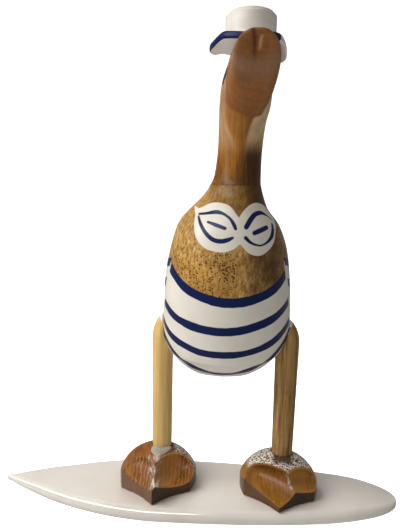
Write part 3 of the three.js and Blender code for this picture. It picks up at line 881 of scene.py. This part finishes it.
# %% Teak for the head
def teak_head():
    """Varnished teak with arched growth rings, zones and painted eyes."""
    material, tree = new_material("varnished_teak_head")
    place = add(tree, "TexCoord", out="Object")
    shifted = add(tree, "Mapping", {"Vector": place, "Location": (-0.036, -0.03, -0.3),
                                    "Rotation": (0.25, 0.1, 0.0)})
    rings = add(tree, "TexWave", {"Vector": shifted, "Scale": wave_scale(5.2), "Distortion": 6.0,
                                  "Detail": 4.0, "Detail Scale": 1.2, "Detail Roughness": 0.6},
                out="Fac", wave_type="RINGS", rings_direction="Z")
    stretched = add(tree, "Mapping", {"Vector": place, "Scale": (1.0, 1.0, 0.08)})
    fibre = add(tree, "TexNoise", {"Vector": stretched, "Scale": noise_scale(3.0), "Detail": 6.0,
                                   "Roughness": 0.65})
    cloud = add(tree, "TexNoise", {"Vector": place, "Scale": noise_scale(22), "Detail": 5.0})
    wood = add(tree, "ValToRGB", {"Fac": fibre}, stops=[
        (0.35, linear("#7a4d1e")), (0.65, linear("#a06a2a"))])
    streaks = add(tree, "MapRange", {"Value": fibre, "From Min": 0.52, "From Max": 0.42})
    streaks = add(tree, "Math", {0: streaks, 1: stored(tree, "golden")}, operation="MULTIPLY")
    late = add(tree, "MapRange", {"Value": rings, "From Min": 0.45, "From Max": 1.0})
    stain = add(tree, "MapRange", {"Value": cloud, "From Min": 0.5, "From Max": 0.7})
    early = add(tree, "MapRange", {"Value": fibre, "From Min": 0.58, "From Max": 0.75})
    # Among these stains are painted light: the sheen on the duck's left flank, the highlight beside the
    # groove and the sheen across the bill.
    wood = stained(tree, wood, ("#ab8861", "pale", 0.85), ("#dbbc92", "sapwood", 0.9),
                   ("#8e5803", "golden", 0.9), ("#4d2c09", streaks, 0.6), ("#38210c", "dark", 0.9),
                   ("#88562d", "bill", 0.95), ("#5a3416", late, 0.18), ("#5d3a1a", stain, 0.45),
                   ("#c39b62", early, 0.25), ("#4c3216", "joint", 0.45), ("#2e1a0e", "groove", 0.75),
                   ("#c39a70", "streak", 0.7), ("#8b6c57", "sheen", 0.55))
    eye = inside_edge(tree, "navy_edge")
    colour = add(tree, "Mix", {0: eye, 6: wood, 7: linear("#15151a")}, **OVER)
    relief = add(tree, "Math", {0: stored(tree, "groove"), 1: -2.0, 2: fibre},
                 operation="MULTIPLY_ADD")
    skin = add(tree, "Bump", {"Height": relief, "Strength": 0.4, "Distance": 0.5 * MM})
    coat = add(tree, "BsdfPrincipled", {"Base Color": colour, "Roughness": 0.3, "IOR": 1.45,
                                        "Specular IOR Level": 0.2, "Normal": skin})
    add(tree, "OutputMaterial", {"Surface": coat})
    return material


finish_piece(head, "head_and_neck", teak_head())

# %% [markdown]
# ## The hat
#
# A turned hat: a crown with a small step and a softly rounded top, on a round brim whose
# sides droop. It is a lathe profile swept round, and then the brim is bent. Its enamel is
# brushed round the crown, so the noise for it is squeezed along Z. Painted light makes the white
# lighter on the top and on the underside of the brim, and the brim's edge is navy except for
# a bare place at the duck's left.

# %% Turn the hat
TOP_ROUNDING, NAVY_RIM, BEAD_SHARE = 2.2, 1.2, 0.3


def hat_profile():
    """Radius and height from the middle of the underside round to the middle of the top."""
    brim, rim, crown, top = HAT["brim"], HAT["rim"], HAT["crown"], HAT["top"]
    ledge, height, edge = HAT["ledge"], HAT["height"], HAT["edge"]
    bead = rim * BEAD_SHARE
    # Flat parts get points between their ends, so that the brim can bend smoothly.
    line = [(4, 0), (12, 0), (16, 0), (20, 0), (22, 0), (24, 0), (brim - bead - 0.4, 0)]
    for k in range(7):
        a = -math.pi / 2 + k / 6 * math.pi / 2
        line.append((brim - bead + bead * math.cos(a), bead + bead * math.sin(a)))
    for k in range(7):
        a = k / 6 * math.pi / 2
        line.append((brim - bead + bead * math.cos(a), rim - bead + bead * math.sin(a)))
    line += [(brim - bead - 0.4, rim), (24, rim), (21, rim), (crown + 0.5, rim), (crown, rim + 0.5)]
    line += [(crown, rim + 3), (crown, ledge - 3), (crown, ledge - edge * 0.6)]
    line += [(crown - edge * 0.2, ledge - edge * 0.2), (crown - edge * 0.6, ledge), (top + 0.2, ledge)]
    line += [(top, ledge + 0.2), (top, height - TOP_ROUNDING)]
    for k in range(1, 6):
        a = k / 5 * math.pi / 2
        line.append((top - TOP_ROUNDING + TOP_ROUNDING * math.cos(a),
                     height - TOP_ROUNDING + TOP_ROUNDING * math.sin(a)))
    line += [(top - 4, height + 0.4), (8, height + 0.9), (3, height + 1.1)]
    return np.array(line)


def bend_brim(x, y, z):
    """Bends both sides of the brim down, the duck's left more, and sags its front a little."""
    across, behind = x / HAT["brim"], y / HAT["brim"]
    outside = np.maximum(0, np.hypot(x, y) - HAT["crown"]) / (HAT["brim"] - HAT["crown"])
    sag = HAT["fall"] * np.maximum(0, 1 - (across / HAT["flat"]) ** 2) * np.maximum(0, -behind)
    left = HAT["left_droop"] * smoothstep(HAT["left_start"], 0, behind)
    droop = np.where(across < 0, HAT["right_droop"], left)
    drop = sag + droop * smoothstep(HAT["flat"], HAT["bent"], np.abs(across))
    drop = drop + HAT["twist"] * across * np.maximum(0, behind)
    return x + outside * HAT["shift"], z - outside * drop


profile = hat_profile()
turn = angles(144)
hat_x, hat_y = profile[:, :1] * np.cos(turn), profile[:, :1] * np.sin(turn)
bent_x, hat_z = bend_brim(hat_x, hat_y, np.broadcast_to(profile[:, 1:], hat_x.shape))
hat_rings = np.stack([bent_x + DUCK_X + HAT["x"], hat_y + HAT["y"], hat_z + HAT["z"]], 2)
hat = make_piece("turned_hat", *closed_tube(hat_rings))
flat = points(hat) - [HAT["x"] + HAT["shift"], HAT["y"], HAT["z"]]
rim_paint = HAT["brim"] - NAVY_RIM - np.hypot(flat[:, 0], flat[:, 1]) + 0.3 * wobble(flat, 12, 41)
bare_side = smoothstep(0.72, 0.8, flat[:, 0] / HAT["brim"]) * smoothstep(-20, -14, flat[:, 1])
facing_up = normals(hat)[:, 2]
store(hat,
      navy_edge=rim_paint + 6 * bare_side,
      white_edge=np.full(len(flat), -5.0),
      # Painted light: a lighter white on the underside of the brim and on the top.
      fresh_white=smoothstep(-0.2, -0.6, facing_up) + 0.8 * smoothstep(0.5, 0.9, facing_up))
print("hat:", [round(v / MM, 1) for v in hat.dimensions])
BRUSHED_ROUND = (0.5, 0.5, 4.0)
finish_piece(hat, "hat", painted("white_and_navy_hat_enamel", root_wood, BRUSHED_ROUND,
                                 ("#c8c0b5", "#e6dfd4")))

# %% [markdown]
# ## The feet
#
# Each foot is a block of teak sawn to a plan with a round heel and a pointed toe, domed on
# top, with two hollows gouged for the web and a socket for the leg. The same cuts are made
# here on fine shapes, and a voxel remesh with a little smoothing breaks the sharp edges. The
# front walls are hollowed by nearly 2 mm, as a gouge leaves them.

# %% Carve the feet
FOOT = {"half": 31.5, "heel": 25.0, "corner_half": 27.5, "dome_y": -5.0, "front_drop": 0.4,
        "front_y": -60.0, "play": 0.8, "bow": 1.6, "wider": 1.5, "longer": 2.0}
BLOCK_LEVELS, ABOVE_FOOT, BALL_SHARE = (0.0, 15.0, 30.5), 60.0, 0.6


def foot_outline(toe, corner):
    """Plan of one foot, from the toe round by the duck's left side."""
    half, heel, corner_half, dome_y = (FOOT[k] for k in ("half", "heel", "corner_half", "dome_y"))
    t = np.linspace(0, 1, 24)
    front = np.outer(1 - t, (0, toe)) + np.outer(t, (corner_half, corner))
    front += np.outer(np.sin(math.pi * t), (-0.6, 1.0)) * FOOT["bow"]
    side = (np.outer((1 - t) ** 2, (corner_half, corner))
            + np.outer(2 * t * (1 - t), (half, corner * 0.6))
            + np.outer(t ** 2, (half, dome_y)))
    back = bezier((half, dome_y), (half, heel * 0.62), (half * 0.55, heel), (0, heel), t)
    right = np.vstack([front, side[1:], back[1:]])
    return np.vstack([right, right[-2:0:-1] * [-1, 1]])


def foot_vault(dome):
    """Half a ball at the heel that runs forward as a low vault."""
    t = np.linspace(0, 1, 100)
    back = np.minimum(1, t / BALL_SHARE)
    dome_y, front = FOOT["dome_y"], FOOT["front_y"]
    ball = FOOT["heel"] - dome_y + FOOT["longer"]
    y = np.where(t < BALL_SHARE, dome_y + ball * np.cos(back * math.pi / 2),
                 dome_y + (front - dome_y) * (t - BALL_SHARE) / (1 - BALL_SHARE))
    size = np.maximum(0.02, np.sin(back * math.pi / 2))
    forward = np.maximum(0, (dome_y - y) / (dome_y - front))
    turn = angles(96)
    x = ((FOOT["half"] + FOOT["wider"]) * size)[:, None] * np.cos(turn)
    z = (dome * (1 - FOOT["front_drop"] * forward) * size)[:, None] * np.sin(turn)
    return closed_tube(np.stack([x, np.broadcast_to(y[:, None], x.shape), z], 2))


def tilt_and_turn(tilt, turn):
    """A turn about x and then about z, in degrees, as a 3 by 3 matrix."""
    about_x = Matrix.Rotation(math.radians(tilt), 3, "X")
    return np.array(Matrix.Rotation(math.radians(turn), 3, "Z") @ about_x)


def gouge(middle, halves, tilt, turn):
    """A stretched ball that cuts one hollow of the web."""
    polar = np.linspace(0.02, math.pi - 0.02, 60)[:, None]
    around = angles(80)
    ball = np.stack([np.sin(polar) * np.cos(around), np.sin(polar) * np.sin(around),
                     np.cos(polar) * np.ones_like(around)], 2) * halves
    return closed_tube(ball @ tilt_and_turn(tilt, turn).T + middle)


def carve_foot(name, place, leg):
    """One foot, cut at the origin and then turned and set down on the board."""
    plan = foot_outline(place["toe"], place["corner"])
    rings = np.stack([np.column_stack([plan, np.full(len(plan), z)]) for z in BLOCK_LEVELS])
    foot = make_piece(name, *closed_tube(rings))
    cut(foot, make_piece("vault", *foot_vault(place["dome"])), "INTERSECT")
    for hollow in place["hollows"]:
        cut(foot, make_piece("gouge", *gouge(*hollow)))
    foot.data.transform(Matrix.Translation((place["shift"] * MM, 0, 0)))
    turn = angles(48)
    wide = leg["base"] + FOOT["play"]
    rings = np.stack([np.stack([wide * np.cos(turn), wide * np.sin(turn), np.full(48, z)], 1)
                      for z in (SOCKET_FLOOR, ABOVE_FOOT)])
    cut(foot, make_piece("auger", *closed_tube(rings)))
    melt_and_sand(foot, VOXELS["foot"], 3)
    foot.data.transform(Matrix.Translation(Vector((DUCK_X + place["x"], place["y"], THICK + GAP)) * MM)
                        @ Matrix.Rotation(math.radians(place["turn"]), 4, "Z"))
    return foot


feet = {side: carve_foot(f"{side}_carved_foot", FEET[side], LEGS[side]) for side in ("right", "left")}
for foot_piece in feet.values():
    print(foot_piece.name, [round(v / MM, 1) for v in foot_piece.dimensions])

# %% [markdown]
# Carved teak with the tool marks left in. In the hollows the growth rings are cut along
# their length and show as thin pale lines about 3 mm apart. Painted light and shade even out
# the shading of the hollows: the slope turned to the duck's left, away from the key light, is
# painted golden and the slope turned to the key light brown. On the ridge between the hollows a
# painted highlight draws fibres that catch the light. The dome of the heel is end grain, open
# and rough, and the glints of its varnish are painted as hundreds of pale specks just over 1 mm
# apart. The sawn front walls are darker, walls turned to the duck's left get painted shade, and
# in front of the brown stick the wood is darker. The varnish is as on the head, only rougher in
# the hollows, and its specular level is a little higher, because the feet shine more in the
# picture.

# %% Teak for the feet
GOUGE_SIZE = 18


def zone_foot(piece, place):
    """Stores the sawn walls, hollows, rough dome, darker patch before the leg and painted light and
    shade.
    """
    xyz, away = points(piece), normals(piece)
    local = xyz - [place["x"] + place["shift"], place["y"], THICK + GAP]
    local = local @ tilt_and_turn(0, -place["turn"]).T
    # How far a point is from the skin of each gouge, in mm.
    off = []
    for middle, halves, tilt, turn in place["hollows"]:
        ball = (local - middle) @ tilt_and_turn(tilt, turn) / halves
        off.append(np.abs(np.linalg.norm(ball, axis=1) - 1) * GOUGE_SIZE)
    x, y, z = local.T
    hollow = smoothstep(1.6, 0.9, np.min(off, 0))
    # A painted highlight on the ridge between the hollows, where the fibres catch the light.
    ridge = smoothstep(place["ridge"], 0.5, np.max(off, 0) + 1.5 * wobble(xyz, 7, 34))
    walls = smoothstep(0.45, 0.2, np.abs(away[:, 2])) * (1 - hollow)
    side = smoothstep(*place["rough_side"], x + 2 * wobble(xyz, 12, 31))
    above = smoothstep(place["rough_from"], place["rough_from"] + 3, z + wobble(xyz, 5, 33))
    # A darker patch in front of the brown stick.
    dirt = smoothstep(9, 6, np.abs(x + place["shift"])) * smoothstep(-20, -14, y)
    store(piece,
          ridge=ridge * smoothstep(-12, -18, y),
          walls=walls,
          hollow=hollow,
          dome=(1 - walls) * (1 - hollow) * above * side,
          # Painted light and shade by which way a slope of a hollow faces.
          left_slope=hollow * smoothstep(0.05, 0.4, away[:, 0]),
          right_slope=hollow * smoothstep(-0.05, -0.4, away[:, 0]),
          dirt=dirt * smoothstep(2, -4, y) * place["dark_patch_share"],
          shaded_wall=smoothstep(0.1, 0.5, away[:, 0]) * walls)
    print(piece.name, "hollow share:", round(float(hollow.mean()), 2))


def carved_teak(name, light, middle, dark, lines_share, wall):
    """Teak with pale growth lines, sawn walls, painted light and shade, and painted glints on the dome.
    """
    material, tree = new_material(name)
    place = add(tree, "TexCoord", out="Object")
    growth = add(tree, "TexWave", {"Vector": place, "Scale": wave_scale(3.0), "Distortion": 9.0,
                                   "Detail": 4.0, "Detail Scale": 0.8, "Detail Roughness": 0.6},
                 out="Fac", wave_type="BANDS", bands_direction="X")
    stretched = add(tree, "Mapping", {"Vector": place, "Scale": (1.0, 0.12, 1.0)})
    fibre = add(tree, "TexNoise", {"Vector": stretched, "Scale": noise_scale(2.4), "Detail": 5.0,
                                   "Roughness": 0.6})
    cloud = add(tree, "TexNoise", {"Vector": place, "Scale": noise_scale(16.7), "Detail": 4.0})
    wood = add(tree, "ValToRGB", {"Fac": fibre}, stops=[(0.34, linear(dark)), (0.6, linear(middle))])
    stain = add(tree, "MapRange", {"Value": cloud, "From Min": 0.5, "From Max": 0.7})
    gouged = stored(tree, "hollow")
    thin = add(tree, "MapRange", {"Value": growth, "From Min": 0.8, "From Max": 1.0})
    thin = add(tree, "Math", {0: thin, 1: gouged}, operation="MULTIPLY")
    streak = add(tree, "MapRange", {"Value": fibre, "From Min": 0.5, "From Max": 0.66})
    glare = add(tree, "Math", {0: streak, 1: stored(tree, "ridge")}, operation="MULTIPLY")
    # Painted glints of varnish on the rough end grain of the dome, as pale specks.
    cells = add(tree, "TexVoronoi", {"Vector": place, "Scale": noise_scale(1.32)})
    speck = add(tree, "MapRange", {"Value": cells, "From Min": 0.66, "From Max": 0.4})
    speck = add(tree, "Math", {0: speck, 1: stored(tree, "dome")}, operation="MULTIPLY")
    # Painted light and shade on slopes and walls, a painted highlight on the ridge, painted glints on
    # the dome.
    wood = stained(tree, wood, (dark, stain, 0.7), ("#bf8540", "left_slope", 0.7),
                   ("#6b3f10", "right_slope", 0.75), (light, thin, lines_share),
                   ("#8a7160", "ridge", 0.5), ("#efe4d6", glare, 0.9), (wall, "walls", 0.88),
                   ("#2a1a13", "shaded_wall", 0.75), ("#55432f", "dome", 0.75),
                   ("#efe6da", speck, 0.95), ("#3e280f", "dirt", 0.9))
    relief = add(tree, "Math", {0: speck, 1: 1.2, 2: fibre}, operation="MULTIPLY_ADD")
    skin = add(tree, "Bump", {"Height": relief, "Strength": 0.35, "Distance": 0.5 * MM})
    gloss = add(tree, "MapRange", {"Value": gouged, "To Min": 0.3, "To Max": 0.38})
    coat = add(tree, "BsdfPrincipled", {"Base Color": wood, "Roughness": gloss, "IOR": 1.45,
                                        "Specular IOR Level": 0.3, "Normal": skin})
    add(tree, "OutputMaterial", {"Surface": coat})
    return material


for foot_side, foot_piece in feet.items():
    zone_foot(foot_piece, FEET[foot_side])
finish_piece(feet["right"], "right_foot",
             carved_teak("reddish_carved_teak", "#d2a06a", "#925925", "#6b3e15", 0.45, "#6c4e3a"))
finish_piece(feet["left"], "left_foot",
             carved_teak("golden_carved_teak", "#b9843c", "#976423", "#784a16", 0.2, "#45301c"))

# %% [markdown]
# ## Putty round the pale leg
#
# In front of the pale stick a lump of grey wood filler was pressed over the edge of its
# socket by hand. It is a small uneven patch that follows the top of the foot. Dry filler is
# matt, with a roughness near 0.6, and gritty. Its real grit of under half a millimetre is
# too fine to show in the render, so it is drawn at 2 mm.

# %% Press in the putty
PUTTY_PLAN = [(-6.6, -5.6), (-8.3, -9.0), (-7.2, -14.4), (-3.6, -17.5), (1.2, -18.0), (4.2, -15.0),
              (7.0, -11.4), (8.9, -7.2), (7.2, -5.4), (4.6, -7.3), (0, -8.5), (-3.6, -7.8)]
PUTTY_MIDDLE = np.array((-1.5, -12.0))
# Each ring is a share of the plan and its height in mm over the wood.
PUTTY_RINGS = ((1.0, -1.6), (1.0, 0.1), (0.96, 0.6), (0.85, 1.0), (0.6, 1.3), (0.3, 1.3), (0.1, 1.3))


def vault_height(x, y, dome):
    """Height of the top of a foot in front of its dome, above the board."""
    forward = np.maximum(0, (FOOT["dome_y"] - y) / (FOOT["dome_y"] - FOOT["front_y"]))
    across = np.sqrt(1 - (x / (FOOT["half"] + FOOT["wider"])) ** 2)
    return dome * (1 - FOOT["front_drop"] * forward) * across


def putty_lump(place):
    """A thumbed patch that follows the top of the foot, thin at its edge."""
    wrapped = PUTTY_PLAN[-2:] + PUTTY_PLAN + PUTTY_PLAN[:2]
    last = len(wrapped) - 1
    edge = smooth_rows(wrapped, np.linspace(2 / last, (last - 1) / last, 85))[:-1]
    rings = []
    for share, height in PUTTY_RINGS:
        flat = PUTTY_MIDDLE + (edge - PUTTY_MIDDLE) * share
        rise = vault_height(flat[:, 0], flat[:, 1], place["dome"]) + height
        rings.append(np.column_stack([flat[:, 0] + place["x"] + DUCK_X, flat[:, 1] + place["y"],
                                      rise + THICK + GAP]))
    rings = np.array(rings)
    rings[..., 2] += 0.3 * wobble(rings.reshape(-1, 3), 6, 51).reshape(rings.shape[:2])
    return closed_tube(rings)


putty = make_piece("grey_putty_lump", *putty_lump(FEET["right"]))
clay, tree = new_material("smeared_grey_wood_filler")
grit = add(tree, "TexNoise", {"Vector": add(tree, "TexCoord", out="Object"),
                              "Scale": noise_scale(2), "Detail": 4.0})
grey = add(tree, "ValToRGB", {"Fac": grit}, stops=[(0.3, linear("#8d867c")), (0.7, linear("#b4ada2"))])
dent = add(tree, "Bump", {"Height": grit, "Strength": 0.6, "Distance": 0.4 * MM})
matt = add(tree, "BsdfPrincipled", {"Base Color": grey, "Roughness": 0.6, "Normal": dent})
add(tree, "OutputMaterial", {"Surface": matt})
putty.data.materials.append(clay)
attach(putty, "root")
print(f"{putty.name}: {len(putty.data.polygons)} faces")

# %% [markdown]
# ## The studio
#
# A pale floor that sweeps up on every side, like a roll of paper in a photographer's studio.
# It glows by itself, so that it looks as white as the cut-out background of the picture from
# anywhere, and it sends the figure no light, shadow or reflection.

# %% Floor
FLOOR_RADIUS, FLOOR_BEND, BELOW_BOARD = 3000, 900, 0.05


def round_sweep(radius, bend, height, steps=24, sides=96):
    """A round floor that curves up into a wall on every side."""
    line = [(1.0, 0.0), (radius - bend, 0.0)]
    for k in range(1, steps + 1):
        a = k / steps * math.pi / 2
        line.append((radius - bend + bend * math.sin(a), bend - bend * math.cos(a)))
    line.append((radius, height))
    turn = angles(sides)
    verts = [(r * math.cos(a), r * math.sin(a), z) for r, z in line for a in turn]
    faces = [(k * sides + i, k * sides + (i + 1) % sides, (k + 1) * sides + (i + 1) % sides,
              (k + 1) * sides + i) for k in range(len(line) - 1) for i in range(sides)]
    return verts, faces


floor = make_piece("pale_floor", *round_sweep(FLOOR_RADIUS, FLOOR_BEND, FLOOR_RADIUS))
floor.location.z = -BELOW_BOARD * MM
paper, tree = new_material("pale_paper_sweep")
fleck = add(tree, "TexNoise", {"Vector": add(tree, "TexCoord", out="Object"),
                               "Scale": noise_scale(333)})
pale = add(tree, "ValToRGB", {"Fac": fleck}, stops=[(0.3, linear("#f6f5f3")), (0.7, linear("#faf9f8"))])
sheet = add(tree, "BsdfPrincipled", {"Base Color": pale, "Roughness": 0.9, "Emission Color": pale,
                                     "Emission Strength": 1.0})
add(tree, "OutputMaterial", {"Surface": sheet})
floor.data.materials.append(paper)
floor.visible_diffuse = False
floor.visible_glossy = False
floor.visible_shadow = False
print("floor:", round(floor.dimensions.x, 1), "m across")

# %% [markdown]
# One broad soft box at the picture's left lights the figure and leaves the duck's left side in
# shade. Weak ones from behind, from the front and from under the table fill the shadows, and
# so does a dim white room. The boxes don't show in reflections, because in the picture only
# one lamp does: the long tube that draws the bright line along the rail. It gives no other
# light.

# %% Lights and room
# A light's place and aim in mm, its size in mm and its power in watts.
SOFT_LIGHTS = {
    "key_soft_box": ((-1000, -300, 1000), (0, 0, 180), 900, 19.5),
    "back_soft_box": ((-300, 900, 900), (0, 0, 150), 500, 4.8),
    "fill_soft_box": ((200, -1200, 150), (0, 0, 170), 900, 2.3),
    "light_off_the_table": ((-450, -350, -650), (0, 0, 300), 1000, 4.8)}
TUBE_AT, TUBE_AIM, TUBE_RUNS = (-635, -690, 890), (0, 0, 100), (750, -450, 450)
TUBE_LENGTH, TUBE_WIDTH, TUBE_WATTS = 1500, 380, 15
ROOM_STRENGTH = 0.24


def soft_light(name, place, aim, size, watts):
    """A square soft box at a place in mm that looks at a point and isn't seen in reflections."""
    light = bpy.data.lights.new(name, "AREA")
    light.size, light.energy = size * MM, watts
    holder = bpy.data.objects.new(name, light)
    holder.location = Vector(place) * MM
    holder.rotation_euler = (Vector(aim) - Vector(place)).to_track_quat("-Z", "Y").to_euler()
    holder.visible_glossy = False
    bpy.context.collection.objects.link(holder)
    return holder


for light_name, light_row in SOFT_LIGHTS.items():
    soft_light(light_name, *light_row)
tube = soft_light("tube_lamp", TUBE_AT, TUBE_AIM, TUBE_LENGTH, TUBE_WATTS)
tube.data.shape, tube.data.size_y = "RECTANGLE", TUBE_WIDTH * MM
# A lamp shines along its own -z, so its z points back from the figure and its y runs across.
back = (Vector(TUBE_AT) - Vector(TUBE_AIM)).normalized()
across = back.cross(Vector(TUBE_RUNS).normalized()).normalized()
tube.rotation_euler = Matrix((across.cross(back), across, back)).transposed().to_euler()
tube.visible_glossy = True
tube.visible_diffuse = False
room = bpy.data.worlds.new("dim_white_room")
room.use_nodes = True
room.node_tree.nodes["Background"].inputs["Color"].default_value = linear("#ffffff")
room.node_tree.nodes["Background"].inputs["Strength"].default_value = ROOM_STRENGTH
bpy.context.scene.world = room
bpy.context.scene.view_settings.view_transform = "Standard"
print("lights:", [lamp.name for lamp in bpy.data.lights])

# %% [markdown]
# ## The camera
#
# The camera stands 38 cm in front of the figure at 25 cm height, looks down a little and is
# rolled by one and a half degrees, which the tilt of the board in the picture shows. Its lens
# comes from how strongly the feet and the hat are seen from above and below.

# %% Place the camera
CAMERA_AT = Vector((12.6, -384.9, 250.0)) * MM
PITCH, YAW, ROLL = (math.radians(a) for a in (8.2, -2.43, 1.52))
FOCAL_PIXELS, LONG_SIDE_PIXELS, SENSOR = 500.0, 530.0, 36.0
ahead = Vector((math.sin(YAW) * math.cos(PITCH), math.cos(YAW) * math.cos(PITCH), -math.sin(PITCH)))
level = Vector((math.cos(YAW), -math.sin(YAW), 0))
upright = level.cross(ahead)
right = math.cos(ROLL) * level + math.sin(ROLL) * upright
above = math.cos(ROLL) * upright - math.sin(ROLL) * level
camera = bpy.data.objects.new("camera", bpy.data.cameras.new("camera"))
camera.data.lens = FOCAL_PIXELS / LONG_SIDE_PIXELS * SENSOR
camera.data.clip_start = 10 * MM
turned = Matrix((right, above, -ahead)).transposed().to_4x4()
camera.matrix_world = Matrix.Translation(CAMERA_AT) @ turned
bpy.context.collection.objects.link(camera)
bpy.context.scene.camera = camera
print("lens:", round(camera.data.lens, 2), "mm")
